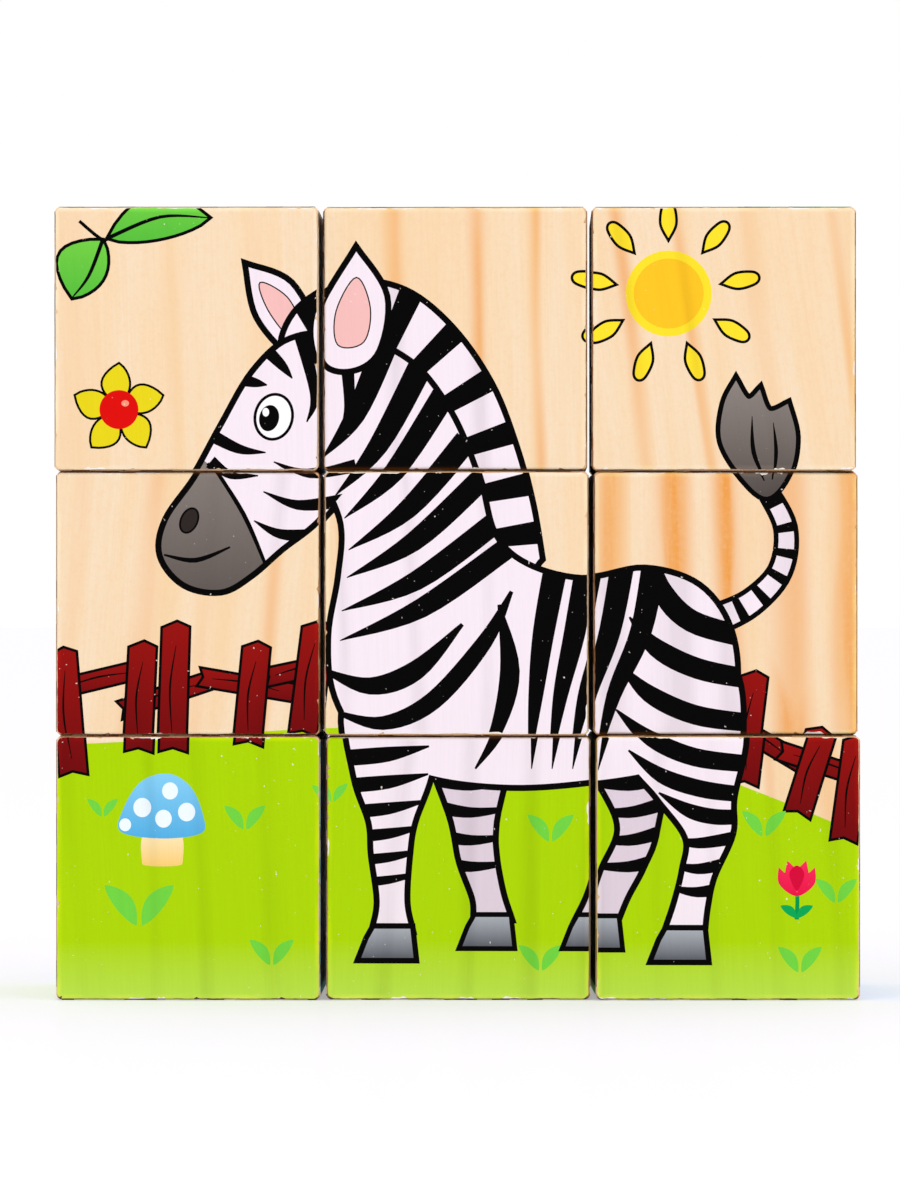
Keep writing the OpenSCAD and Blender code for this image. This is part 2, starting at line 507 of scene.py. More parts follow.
def zebra_picture():
    """Front: a zebra in a meadow."""
    picture = Picture()
    twig(picture, -52.5, 115.0)
    flower(picture, -50, 89.5, 0.95)
    sun(picture, 31.5, 107.0)
    meadow(picture, ((-66, 38.6), (-45, 39.6), (-20, 41.2), (5, 41.0), (28, 37.4), (45, 31.6), (66, 23)))
    fence_left(picture)
    fence_right(picture)
    for x, y, size in (
        (-31.5, 26, 0.8), (-47.5, 11.5, 1.35), (-27.5, 5.5, 0.85), (14, 24, 0.9), (12.5, 4.5, 0.85),
        (45.5, 25, 0.85), (56.5, 15, 0.8), (51, 4.5, 0.85), (-53, 28, 0.6), (-19, 30, 0.6),
    ):
        sprout(picture, x, y, size)
    mushroom(picture, -44, 20.5)
    tulip(picture, 50.5, 12.5, 0.95)
    zebra(picture)
    return picture


def fence_left(picture):
    """The rails and posts behind the zebra, on the left."""
    for start, end in (
        ((-60, 47), (-47, 50)), ((-50, 44), (-36, 48.5)), ((-38, 49), (-24, 46.5)), ((-28, 49), (-18, 51)),
    ):
        rail(picture, start, end, 2.6)
    for x, foot, top, lean in (
        (-57.5, 34.5, 52.5, -1.2), (-47.6, 38, 53.5, 1.0), (-42.4, 38, 56.5, 0.8), (-31.0, 39, 53.5, 1.6),
        (-22.6, 40.5, 56.5, 2.2),
    ):
        rail(picture, (x, foot), (x + lean, top), 4.2)


def fence_right(picture):
    """The rails and posts behind the zebra, on the right."""
    for start, end in (((38, 44), (51, 36)), ((48, 38), (63, 33))):
        rail(picture, start, end, 2.6)
    for x, foot, top, lean in ((42.5, 33, 49, 2.2), (50.5, 28.5, 40.5, 4.0), (57.5, 24.5, 39.5, 2.2)):
        rail(picture, (x, foot), (x + lean, top), 4.0)


# ---- back: an elephant by the water

WATER_LOW = ink(52, 150, 214, 0.95)
WATER_HIGH = ink(110, 200, 236, 0.92)
RIPPLE = ink(214, 240, 250, 0.95)
GREY_LOW = ink(122, 134, 154)
GREY_HIGH = ink(172, 182, 198)
CLOUD = ink(236, 246, 252, 0.92)
CLOUD_LOW = ink(190, 220, 240, 0.92)


def ripples(picture, places, size=1.0):
    """Short pale strokes on water."""
    for x, y in places:
        picture.fill(moved(stroke([(-4, 0), (0, 1.1), (4, 0)], [0.2, 0.9, 0.2]), x, y, size), RIPPLE)


def cloud(picture, x, y, size=1.0):
    """A cloud with a flat foot."""
    puffs = curve(
        (-9, 0), (-10.4, 3.2), (-6.4, 5.2), (-3.2, 9.2), (2.6, 8.8), (5.4, 5.4), (9.8, 4.2), (9.6, 0.4),
        (0, -0.4),
    )
    picture.fill(moved(puffs, x, y, size), CLOUD_LOW, CLOUD, line=0.25)


def eye(picture, x, y, size=1.0):
    """A round dark eye with a glint."""
    picture.fill(oval(x, y, 1.3 * size, 1.6 * size), BLACK)
    picture.fill(oval(x - 0.35 * size, y + 0.6 * size, 0.45 * size, 0.5 * size), ink(255, 255, 255))


def column_leg(x, top, foot, wide):
    """A thick straight leg."""
    half = wide / 2
    middle = (top + foot) / 2
    return curve(
        (x - half, top), (x - half * 0.92, middle), (x - half, foot), (x - half, foot),
        (x + half, foot), (x + half, foot), (x + half * 0.92, middle), (x + half, top),
    )


def elephant_picture():
    """Back: an elephant that drinks from a river."""
    picture = Picture()
    cloud(picture, -38, 100, 1.2)
    cloud(picture, 44, 92, 0.9)
    sun(picture, 8, 106, 0.8)
    meadow(picture, ((-66, 38), (-40, 41), (-10, 40), (20, 38), (44, 33), (66, 36)))
    for lean, top in ((-5, 30), (-1, 36), (4, 28)):
        reed = leaf((-52, 34), (-52 + 2 * lean, 34 + top), 3.0, lean / 5)
        picture.fill(reed, LEAF_SHADE, LEAF_GREEN, line=0.3)
    for x in (-20, 12):
        picture.fill(column_leg(x, 44, 18, 11), GREY_LOW, GREY_LOW, line=0.75)
    tail = stroke([(-40, 62), (-47, 56), (-49, 44)], [2.8, 1.9, 1.5])
    picture.fill(tail, GREY_LOW, GREY_HIGH, line=0.6)
    picture.fill(leaf((-48.8, 45), (-50, 35), 3.6), DARK_GREY, line=0.4)
    body = curve(
        (-34, 38), (-41, 52), (-39, 68), (-28, 78), (-8, 81), (10, 78), (20, 66), (20, 50), (14, 38),
        (-10, 34),
    )
    legs = [column_leg(x, 46, 12, 12.5) for x in (-30, 3)]
    head = curve((6, 86), (5, 70), (12, 56), (24, 52), (34, 58), (37, 72), (32, 84), (19, 91))
    trunk = stroke(
        [(29, 66), (39, 58), (43, 46), (42, 34), (46, 25), (53, 25)], [17, 12, 8.6, 6.8, 5.8, 4.8],
    )
    coat = picture.group([(part, GREY_LOW, GREY_HIGH) for part in (body, *legs, trunk, head)], 0.75)
    for share in (0.3, 0.42, 0.54, 0.66, 0.78):
        x, y = np.interp(share, (0, 0.3, 0.55, 0.75, 1), (29, 40, 43, 42, 50)), 66 - 42 * share
        crease = [(x - 5, y - 0.8), (x, y - 1.6), (x + 5, y + 0.2)]
        picture.mark(crease, [0.1, 0.5, 0.1], DARK_GREY, within=[coat[3]])
    for x in (-30, 3):
        for toe in (-3.6, 0, 3.6):
            picture.fill(oval(x + toe, 13.6, 1.6, 1.5), ink(226, 226, 232), line=0.25)
    picture.fill(leaf((27, 60), (38.5, 50.5), 4.2, -2.0), ink(250, 244, 226), line=0.5)
    ear = curve((9, 85), (-3, 82), (-10, 70), (-7, 56), (1, 50), (10, 58), (14, 70))
    picture.fill(ear, GREY_LOW, GREY_HIGH, line=0.7)
    inner_ear = curve((5, 79), (-3, 76), (-6, 68), (-4, 59), (1, 56), (7, 62), (9, 71))
    picture.fill(inner_ear, PINK, line=0.2)
    eye(picture, 25, 74, 1.2)
    river = ((-66, 15), (-30, 17), (0, 14), (24, 20), (44, 27), (66, 30))
    ground(picture, river, WATER_LOW, WATER_HIGH)
    ripples(picture, ((-48, 10), (-26, 5), (-8, 11), (14, 4), (30, 12), (48, 7), (50, 19)))
    for x, y in ((-17, 29), (24, 30), (-54, 24), (50, 31)):
        sprout(picture, x, y, 0.8)
    return picture


# ---- top: a giraffe on a plain


def giraffe_picture():
    """Top: a giraffe on a plain."""
    picture = Picture()
    coat_low, coat_high, spot = ink(250, 190, 62), ink(255, 214, 96), ink(186, 98, 34)
    sun(picture, -41, 103, 0.9)
    cloud(picture, 47, 102, 0.95)
    plain = ((-66, 30), (-30, 33), (0, 31), (30, 34), (66, 30))
    ground(picture, plain, ink(206, 214, 60, 0.92), ink(226, 206, 70, 0.92))
    picture.mark([(46, 28), (45, 44), (48, 60), (42, 72)], [6, 4.4, 3.6, 2], ink(120, 72, 40), line=0.5)
    picture.mark([(47, 54), (53, 64), (56, 74)], [3, 2.4, 1.4], ink(120, 72, 40), line=0.4)
    canopy = [
        (oval(38, 73, 13, 5), LEAF_SHADE, LEAF_GREEN), (oval(54, 77, 13, 5.4), LEAF_SHADE, LEAF_GREEN),
    ]
    picture.group(canopy, 0.5)
    for x in (-24, 2):
        picture.fill(column_leg(x, 42, 12, 5.6), ink(224, 160, 52), coat_low, line=0.7)
    picture.mark([(-36, 54), (-42, 46), (-42, 36)], [2.2, 1.6, 1.2], coat_low, line=0.5)
    picture.fill(leaf((-42, 38), (-43, 28), 4), ink(110, 56, 26), line=0.3)
    mane = stroke([(-8, 58), (-2, 72), (1, 86), (2, 100), (5, 108)], [2, 5, 5.5, 5, 2])
    picture.fill(mane, ink(150, 80, 36), line=0.5)
    body = curve(
        (-37, 50), (-31, 60), (-18, 61), (-4, 58), (8, 50), (11, 40), (4, 32), (-14, 31), (-30, 33),
        (-37, 40),
    )
    neck = curve(
        (-12, 54), (-4, 68), (0, 84), (3, 100), (8, 104), (18, 98), (17, 86), (15, 72), (12, 56), (9, 44),
        (-4, 42),
    )
    legs = [column_leg(x, 42, 8, 6.6) for x in (-31, 6)]
    head = curve(
        (2, 101), (5, 109), (13, 112), (21, 108), (31, 101), (36, 96), (34, 90.5), (26, 90), (16, 92),
        (7, 94),
    )
    coat = picture.group([(part, coat_low, coat_high) for part in (body, *legs, neck, head)], 0.7)
    chance = random.Random(5)
    for x, y in [(-32 + 8.4 * i + 4 * (j % 2), 37 + 8.2 * j) for j in range(3) for i in range(5)] + [
        (1.5 + 1.8 * j + 7.6 * i, 61 + 8.0 * j) for j in range(5) for i in range(2)
    ] + [(-31, 26), (-30.6, 18), (6, 26), (6.4, 18)]:
        blob = oval(x, y, chance.uniform(2.9, 3.8), chance.uniform(2.6, 3.5), chance.uniform(0, 90), 6)
        picture.fill(curve(*blob, steps=3), spot, within=coat[:4])
    muzzle = curve((27, 88), (25, 96), (29, 102), (40, 100), (40, 88))
    picture.fill(muzzle, ink(236, 160, 84), within=[coat[4]])
    picture.fill(oval(33, 96.6, 0.9, 1.2, 30), ink(110, 56, 26))
    picture.mark([(27.5, 92.8), (31, 92.4), (35, 93.4)], [0.2, 0.5, 0.2])
    for x, lean in ((8.6, -1.5), (13.6, 0.6)):
        picture.fill(stroke([(x, 109), (x + lean, 116)], [2.2, 1.8], smooth=False), coat_low, line=0.4)
        picture.fill(oval(x + lean, 116.4, 1.9, 1.7), ink(110, 56, 26), line=0.3)
    picture.fill(leaf((5, 106), (-6, 110), 5.4, 0.8), coat_low, line=0.5)
    eye(picture, 17, 103.5, 1.25)
    for x, low in ((-31, 8), (6, 8), (-24, 12), (2, 12)):
        picture.fill(hoof(x + 0.6, low, 5.8), ink(96, 56, 36), line=0.5)
    for x, y in ((-50, 22), (-12, 18), (24, 14), (36, 24), (-40, 8), (50, 10), (20, 4), (-14, 5)):
        sprout(picture, x, y, 0.8, ink(176, 170, 40))
    return picture


# ---- bottom: a whale at sea


def whale_picture():
    """Bottom: a whale at sea."""
    picture = Picture()
    cloud(picture, -40, 98, 1.2)
    cloud(picture, 38, 88, 1.0)
    sun(picture, 4, 107, 0.85)
    wave = [(x, 66 + (2.2 if i % 2 else -1.4)) for i, x in enumerate(range(-66, 72, 11))]
    ground(picture, wave, ink(24, 104, 190, 0.96), ink(84, 186, 236, 0.94))
    for side in (-1, 1):
        jet = stroke(
            [(-22, 66), (-22 + 3 * side, 80), (-22 + 11 * side, 84), (-22 + 15 * side, 77)],
            [3, 3.2, 3, 1.4],
        )
        picture.fill(jet, ink(150, 216, 246), line=0.4)
    flukes = curve(
        (30, 44), (41, 52), (44, 62), (38, 72), (38, 72), (47, 70), (50, 66), (54, 72), (61, 71), (61, 71),
        (56, 60), (50, 47), (40, 34),
    )
    body = curve(
        (-50, 44), (-49, 56), (-38, 66), (-18, 68), (4, 60), (24, 46), (40, 40), (50, 46), (48, 34),
        (36, 24), (14, 17), (-14, 15), (-38, 22), (-48, 32),
    )
    blue_low, blue_high = ink(30, 62, 122), ink(52, 104, 168)
    whale = picture.group([(flukes, blue_low, blue_high), (body, blue_low, blue_high)], 0.8)
    belly = curve((-60, 38), (-30, 36), (-4, 30), (22, 27), (46, 30), (30, 8), (-40, 8))
    picture.fill(belly, ink(206, 226, 240), ink(236, 246, 250), within=[whale[1]])
    for i in range(5):
        pleat = [(-44 + 4 * i, 33 - 3.2 * i), (-18, 27 - 2.6 * i), (8, 24 - 1.8 * i)]
        picture.mark(pleat, [0.2, 0.6, 0.2], ink(120, 160, 200), within=[whale[1]])
    picture.mark([(-50, 39), (-38, 37), (-28, 40)], [0.4, 0.8, 0.3], within=[whale[1]])
    picture.fill(leaf((-12, 32), (2, 12), 10, -3), blue_low, blue_high, line=0.6)
    eye(picture, -31, 45, 1.3)
    for x, y, turn, red in ((-46, 11, 8, 255), (30, 9, -6, 250), (52, 20, 10, 255)):
        fish_tail = moved(straight((4, 0), (9, 3.6), (9, -3.6)), x, y, 0.9, turn)
        picture.fill(fish_tail, ink(red, 120, 30), line=0.3)
        fish = moved(curve((-6, 0), (-2, 3.2), (5, 0.6), (5, -0.6), (-2, -3.2)), x, y, 0.9, turn)
        picture.fill(fish, ink(red, 160, 50), line=0.3)
        picture.fill(oval(x - 3.0, y + 0.4, 0.6, 0.7), BLACK)
    for x, lean in ((-56, 2), (-30, -2), (-2, 2), (12, -1.5), (44, 1.5)):
        for k in (-1, 0, 1):
            blade = [(x, -3), (x + 2 * k + lean, 3), (x + 3.4 * k - lean, 9 - 2 * abs(k))]
            picture.mark(blade, [1.6, 1.6, 0.3], ink(20, 150, 110), line=0.2)
    ripples(picture, ((-54, 60), (14, 62), (28, 58), (-2, 56), (54, 38), (-56, 26)))
    return picture


# ---- left: a tortoise in a garden


def tortoise_picture():
    """Left: a tortoise in a garden."""
    picture = Picture()
    cloud(picture, -34, 92, 1.2)
    cloud(picture, 14, 104, 0.9)
    sun(picture, 44, 100, 0.85)
    meadow(picture, ((-66, 44), (-40, 40), (-8, 42), (24, 46), (66, 42)))
    skin_low, skin_high = ink(120, 176, 60), ink(164, 210, 90)
    for x in (-16, 26):
        picture.fill(column_leg(x, 34, 17, 9), ink(100, 150, 50), line=0.6)
    picture.fill(leaf((36, 32), (49, 27), 5), skin_low, line=0.6)
    head = curve(
        (-24, 30), (-30, 42), (-34, 54), (-40, 61), (-49, 60), (-53, 52), (-49, 45), (-42, 43), (-37, 34),
        (-28, 24),
    )
    legs = [column_leg(x, 34, 12, 11) for x in (-24, 18)]
    picture.group([(part, skin_low, skin_high) for part in (head, *legs)], 0.7)
    shell = curve(
        (-32, 30), (-30, 46), (-18, 60), (2, 66), (22, 60), (35, 46), (40, 30), (40, 30), (4, 24),
        (-32, 30),
    )
    shell = picture.fill(shell, ink(150, 92, 38), ink(206, 146, 66), line=0.75)
    for x, y, size in (
        (4, 47, 1.5), (-14, 45, 1.2), (22, 45, 1.2), (-6, 60, 1.0), (13, 60, 1.0), (-24, 36, 0.9),
        (32, 36, 0.9),
    ):
        plate = oval(0, 0, 6.4, 6.0, 30, 6)
        picture.fill(moved(plate, x, y, size), ink(120, 66, 24), ink(160, 98, 40), line=0.3, within=[shell])
        picture.fill(moved(plate, x, y, size * 0.6), ink(176, 116, 50), ink(214, 158, 80), within=[shell])
    picture.mark([(-33, 31), (4, 24.5), (41, 31)], [4.4, 5.4, 4.4], ink(226, 178, 90), line=0.5)
    picture.mark([(-52, 50), (-47, 49), (-43, 51.4)], [0.2, 0.6, 0.2])
    eye(picture, -45, 55, 1.1)
    for x, y, petal in ((-50, 84, ink(244, 120, 160)), (34, 80, ink(250, 250, 252))):
        flower(picture, x, y, 0.8, petal, ink(250, 200, 40))
    for x in (-54, -40, 44, 55):
        tulip(picture, x, 14 + (x % 3), 1.1)
    mushroom(picture, -4, 2, 0.9)
    for x, y in ((-46, 32), (52, 34), (-34, 6), (30, 5), (4, 12), (-54, 5), (48, 5), (-14, 8)):
        sprout(picture, x, y, 0.85)
    return picture


# ---- right: a duck on a pond


def duck_picture():
    """Right: a duck on a pond."""
    picture = Picture()
    cloud(picture, 34, 102, 1.1)
    cloud(picture, -10, 96, 0.8)
    sun(picture, -42, 104, 0.85)
    meadow(picture, ((-66, 50), (-30, 54), (10, 52), (40, 54), (66, 50)))
    ground(picture, ((-66, 40), (-34, 44), (0, 45), (36, 44), (66, 40)), WATER_LOW, WATER_HIGH)
    for x, top in ((-54, 86), (-48, 78), (53, 84), (47, 74)):
        picture.mark([(x, 34), (x + 1, top - 10), (x, top)], [1.4, 1.2, 0.8], ink(60, 140, 60), line=0.25)
        picture.fill(oval(x, top, 2.2, 5.6), ink(120, 70, 34), line=0.35)
    yellow_low, yellow_high = ink(246, 176, 30), ink(255, 222, 70)
    tail = leaf((-22, 44), (-42, 60), 11, 2)
    body = curve(
        (-34, 40), (-32, 50), (-18, 55), (0, 56), (16, 60), (30, 54), (34, 42), (28, 30), (8, 24),
        (-16, 25), (-30, 31),
    )
    neck = curve((8, 50), (13, 62), (12, 74), (20, 84), (32, 84), (37, 74), (33, 64), (33, 50))
    picture.group([(part, yellow_low, yellow_high) for part in (tail, body, neck)], 0.75)
    wing = curve((-22, 46), (-8, 51), (10, 50), (18, 44), (14, 35), (-2, 31), (-18, 35), (-28, 42))
    picture.fill(wing, yellow_low, ink(250, 204, 60), line=0.5)
    for x, y in ((-14, 38), (-5, 36), (4, 37)):
        picture.mark([(x - 4, y), (x, y - 2.6), (x + 4, y)], [0.2, 0.7, 0.2], ink(196, 120, 10))
    bill = curve((34, 76), (42, 77), (50, 73.5), (50, 71), (42, 69.6), (34, 70.5))
    picture.fill(bill, ink(244, 110, 20), ink(255, 150, 40), line=0.5)
    picture.mark([(35, 73.2), (42, 73), (49, 72.2)], [0.2, 0.5, 0.2])
    eye(picture, 27, 77, 1.3)
    front = ((-66, 24), (-34, 30), (-10, 28), (14, 31), (36, 33), (66, 27))
    ground(picture, front, WATER_LOW, WATER_HIGH)
    waves = (
        (-46, 22), (-24, 24), (0, 21), (22, 25), (46, 22), (-36, 8), (-6, 7), (18, 10), (54, 34), (-54, 36),
    )
    ripples(picture, waves)
    for x, y, size in ((-44, 15, 1.0), (10, 13, 1.1), (46, 12, 1.2)):
        picture.fill(moved(oval(0, 0, 9, 3.4), x, y, size), LEAF_SHADE, LEAF_GREEN, line=0.4)
        for turn in (60, 90, 120):
            tip = (5.4 * math.cos(math.radians(turn)), 7 * math.sin(math.radians(turn)))
            petal = leaf((0, 0.6), tip, 3)
            picture.fill(moved(petal, x, y, size), ink(250, 200, 220), line=0.25)
    return picture


# ---- films

MM = 0.001
FILM_THICKNESS = 0.1
CAD_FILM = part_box("top_left_front_print")
FLAT_HALF = (CAD_FILM[1].z - CAD_FILM[0].z) / MM / 2  # the CAD's film covers the block's flat part
WRAP_RADIUS = TILE / 2 - FLAT_HALF  # the block's rounded edge with the film on it
WRAP_DEGREES = {"front": 47, "back": 42}  # how far round the edge a film reaches
OTHER_WRAP_DEGREES = 22
BORDER_RADIUS = 0.9  # the film's own rounded corners
SHARP_DEGREES = 40  # a film's edges that bend more than this are shaded sharp
RING_SHARES = (0.0, 0.3, 0.6)  # how far across the wrapped strip the mesh has a row of points
CLEAR_AND_SHADED_CUT_EDGES = (ink(248, 228, 198, 0.7), ink(22, 36, 14, 0.95))  # clear film, and a dark edge that is painted shade for the joints
CUT_RUN = 2.5  # about how far along the rim one or the other runs
WORN = ink(252, 247, 240, 0.9)
CHIPS = (9, 1, 3, 1)  # how many a film has along its upper, left, lower and right sides
RIM_RUNS = 64  # how many runs of rim are drawn by lot before they repeat


def rounded_border(half, radius, chance):
    """A film's border: a square with round corners, cut a little unevenly and frayed in places."""
    spacing, roughness, deepest = 0.45, 0.04, 0.6
    smoothing = 9  # how many neighbouring points share their wander
    fray_chance = 0.015
    straight_half = half - radius
    side = np.arange(-straight_half, straight_half, spacing)
    turn = np.linspace(0, math.pi / 2, 7)[:-1]
    points = []
    for k in range(4):
        run = np.c_[side, np.full(len(side), -half)]
        arc = np.c_[straight_half + radius * np.sin(turn), -straight_half - radius * np.cos(turn)]
        points.append(turned(np.vstack([run, arc]), 90 * k))
    points = np.vstack(points)
    wander = [chance.gauss(0, 0.08) for _ in range(len(points) + smoothing - 1)]
    wander = np.convolve(wander, np.ones(smoothing) * 2 / smoothing, "valid")
    inward = np.abs(wander) + np.array([chance.uniform(0, roughness) for _ in points])
    for i in range(len(points)):
        if chance.random() < fray_chance:
            inward[i] += chance.uniform(0.15, 0.4)
    reach = np.max(np.abs(points), axis=1, keepdims=True)
    return points * (1 - np.minimum(inward, deepest)[:, None] / reach)


def ring(half, radius):
    """A closed square with round corners, evenly cut into short edges."""
    side = np.linspace(-(half - radius), half - radius, 9)
    turn = np.linspace(0, math.pi / 2, 5)[1:-1]
    run = np.c_[side, np.full(len(side), -half)]
    arc = np.c_[half - radius + radius * np.sin(turn), radius - half - radius * np.cos(turn)]
    return np.vstack([turned(np.vstack([run, arc]), 90 * k) for k in range(4)])


def loop_edges(start, count):
    """The edges of a closed loop of count points that begins at the index start."""
    return [(start + i, start + (i + 1) % count) for i in range(count)]


def covers(outline, points):
    """Which of the points are inside the outline, by how often it winds round them."""
    inside = np.zeros(len(points), bool)
    near = np.all((points > outline.min(0)) & (points < outline.max(0)), axis=1)
    x, y = points[near, :1], points[near, 1:]
    (x0, y0), (x1, y1) = outline.T, np.roll(outline, -1, axis=0).T
    left = (x1 - x0) * (y - y0) - (x - x0) * (y1 - y0)
    ups = (y0 <= y) & (y1 > y) & (left > 0)
    downs = (y0 > y) & (y1 <= y) & (left < 0)
    inside[near] = ups.sum(1) != downs.sum(1)
    return inside


def worn_chips(half, chance):
    """Pale chips where a film's rim has worn, most of them along its upper side."""
    chips = []
    for quarter, count in enumerate(CHIPS):
        for _ in range(count):
            place = chance.uniform(-half, half)
            wide = chance.uniform(0.3, 2.4)
            deep = chance.uniform(0.1, 0.45)
            inner = [
                (wide * share, half - deep * chance.uniform(0.4, 1)) for share in (-0.6, -0.1, 0.3, 0.7)
            ]
            chip = curve((-wide, half + 0.5), *inner, (wide, half + 0.5), steps=3) + (place, 0)
            chips.append(Shape(turned(chip, 90 * quarter), WORN, WORN, None))
    return chips


def crossing_edges(outline, half):
    """The outline's edges that come near the tile, as pairs of points."""
    ends = np.stack([outline, np.roll(outline, -1, axis=0)], axis=1)
    near = np.all((ends.min(1) < half) & (ends.max(1) > -half), axis=1)
    return ends[near]


def triangulated(loops, loose_edges):
    """The plane cut into triangles along every loop and every loose edge."""
    points, edges = [], []
    for loop in loops:
        edges += loop_edges(len(points), len(loop))
        points += [Vector(p) for p in loop]
    for start, end in loose_edges:
        edges.append((len(points), len(points) + 1))
        points += [Vector(start), Vector(end)]
    made = delaunay_2d_cdt(points, edges, [], 0, 1e-4, True)
    return np.array([tuple(p) for p in made[0]]), np.array(made[2]), made[3]


def ink_on(shapes, place, triangles, points):
    """The ink at each corner of each triangle: that of the last shape that covers its middle."""
    middles = points[triangles].mean(1)
    heights = (points[:, 1] - place[1])[triangles]
    colours = np.zeros((len(triangles), 3, 4))
    covered = {}
    for shape, outline in shapes:
        hit = covers(outline, middles)
        covered[id(shape)] = hit
        if shape.within:
            hit = hit & np.any(
                [covered.get(id(w), np.zeros(len(middles), bool)) for w in shape.within], axis=0
            )
        if hit.any():
            share = np.clip((heights[hit] - shape.foot) / (shape.head - shape.foot), 0, 1)[..., None]
            colours[hit] = np.array(shape.low) * (1 - share) + np.array(shape.high) * share
    return colours


def wrapped(points, radius):
    """Flat points laid on the cube's top face and round its edges, at the radius from them."""
    over = np.maximum(np.abs(points) - FLAT_HALF, 0)
    far = np.hypot(*over.T)[:, None]
    angle = far / WRAP_RADIUS
    flat = np.clip(points, -FLAT_HALF, FLAT_HALF)
    spread = np.divide(over, far, out=np.zeros_like(over), where=far > 0)
    side = flat + np.sign(points) * spread * radius * np.sin(angle)
    return np.c_[side, FLAT_HALF + radius * np.cos(angle)]


def film_mesh(name, picture, tile, chance, half):
    """One film of a picture on the top face of a cube round the origin, in millimetres."""
    row, column = tile
    place = np.array([(1 - column) * TILE, row * TILE - 2.5 * TILE])
    place += (chance.uniform(-0.25, 0.25), chance.uniform(-0.25, 0.25))
    lean = chance.uniform(-0.3, 0.3)
    shapes = [(shape, turned(shape.outline + place, lean)) for shape in picture.shapes]
    shapes += [(chip, chip.outline) for chip in worn_chips(half, chance)]
    border = rounded_border(half, BORDER_RADIUS, chance)
    strip = half - FLAT_HALF
    rings = [ring(FLAT_HALF + strip * share, 0.2 + strip * share) for share in RING_SHARES]
    cuts = np.concatenate([crossing_edges(outline, half) for _, outline in shapes])
    points, triangles, _ = triangulated([border, *rings], cuts)
    triangles = triangles[covers(border, points[triangles].mean(1))]
    colours = ink_on(shapes, place, triangles, points)
    # the underside has the same rim, but nothing is printed on it
    edges = np.vstack([triangles[:, [i, (i + 1) % 3]] for i in range(3)])
    _, firsts, uses = np.unique(np.sort(edges, axis=1), axis=0, return_index=True, return_counts=True)
    rim = edges[firsts[uses == 1]]
    below, under, sources = triangulated(rings, points[rim])
    under = under[covers(border, below[under].mean(1))]
    upper, lower = wrapped(points, WRAP_RADIUS), wrapped(below, WRAP_RADIUS - FILM_THICKNESS)
    owner = {source: i for i, group in enumerate(sources) for source in group}
    first = sum(len(loop) for loop in rings)
    walls, wall_colours = [], []
    # about a third of the rim's runs get the dark edge: painted shade down in the joints
    runs = [CLEAR_AND_SHADED_CUT_EDGES[chance.random() < 0.3] for _ in range(RIM_RUNS)]
    for i, (a, b) in enumerate(rim):
        below_a, below_b = (len(points) + owner[first + 2 * i + k] for k in (0, 1))
        walls.append((b, a, below_a, below_b))
        wall_colours += [runs[int((points[a].sum() + 2 * TILE) // CUT_RUN) % RIM_RUNS]] * 4
    mesh = bpy.data.meshes.new(name)
    faces = [*triangles.tolist(), *(under[:, ::-1] + len(points)).tolist(), *walls]
    mesh.from_pydata(np.vstack([upper, lower]).tolist(), [], faces)
    paint = mesh.color_attributes.new("ink", "FLOAT_COLOR", "CORNER")
    plain = np.tile(CLEAR_AND_SHADED_CUT_EDGES[0], (3 * len(under), 1))
    paint.data.foreach_set("color", np.vstack([colours.reshape(-1, 4), plain, wall_colours]).ravel())
    return mesh


# ---- the cubes' places

ACROSS_AND_UP = {  # which way each face's picture runs: to its right, and upwards
    "front": ((1, 0, 0), (0, 0, 1)),
    "back": ((-1, 0, 0), (0, 0, 1)),
    "left": ((0, -1, 0), (0, 0, 1)),
    "right": ((0, 1, 0), (0, 0, 1)),
    "top": ((1, 0, 0), (0, 1, 0)),
    "bottom": ((1, 0, 0), (0, -1, 0)),
}


def cad_name(row, column, piece):
    """The CAD node of one piece of one cube."""
    return f"{ROWS[row]}_{COLUMNS[column]}_{piece}"


def cube_centre(row, column):
    """The middle of a cube's block, in metres."""
    low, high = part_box(cad_name(row, column, "block"))
    return np.array((low + high) / 2)


def cube_turn(row, column):
    """The angle that a cube is turned by about Z, read off the front print's largest face."""
    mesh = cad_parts[cad_name(row, column, "front_print")].data
    normal = max(mesh.polygons, key=lambda face: face.area).normal
    if normal.y > 0:
        return math.atan2(-normal.x, normal.y)
    return math.atan2(normal.x, -normal.y)


def put_on_face(mesh, face, row, column):
    """Moves a film from the top of a cube round the origin to its face of its own cube."""
    across, up = (np.array(axis, float) for axis in ACROSS_AND_UP[face])
    c, s = math.cos(cube_turn(row, column)), math.sin(cube_turn(row, column))
    spin = np.array([[c, -s, 0], [s, c, 0], [0, 0, 1]])
    axes = spin @ np.column_stack([across, up, np.cross(across, up)])
    points = np.empty(len(mesh.vertices) * 3)
    mesh.vertices.foreach_get("co", points)
    placed = points.reshape(-1, 3) @ axes.T * MM + cube_centre(row, column)
    mesh.vertices.foreach_set("co", placed.ravel())
    mesh.polygons.foreach_set("use_smooth", [True] * len(mesh.polygons))
    mesh.set_sharp_from_angle(angle=math.radians(SHARP_DEGREES))
    mesh.update()


def add_film(face, row, column, picture, material):
    """One film of one cube, in place of the CAD's flat plate."""
    name = f"{ROWS[row]}_{COLUMNS[column]}_{face}_picture"
    chance = random.Random(name)
    seen_column = 2 - column if face == "back" else column
    wrap = math.radians(WRAP_DEGREES.get(face, OTHER_WRAP_DEGREES))
    half = FLAT_HALF + wrap * WRAP_RADIUS
    mesh = film_mesh(name, picture, (row, seen_column), chance, half)
    put_on_face(mesh, face, row, column)
    mesh.materials.append(material)
    film = bpy.data.objects.new(name, mesh)
    bpy.context.scene.collection.objects.link(film)
    piece = "side_prints" if face in ("left", "right") else f"{face}_print"
    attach(film, f"{ROWS[row]}_{COLUMNS[column]}_cube")
    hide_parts(cad_name(row, column, piece))


# ---- materials


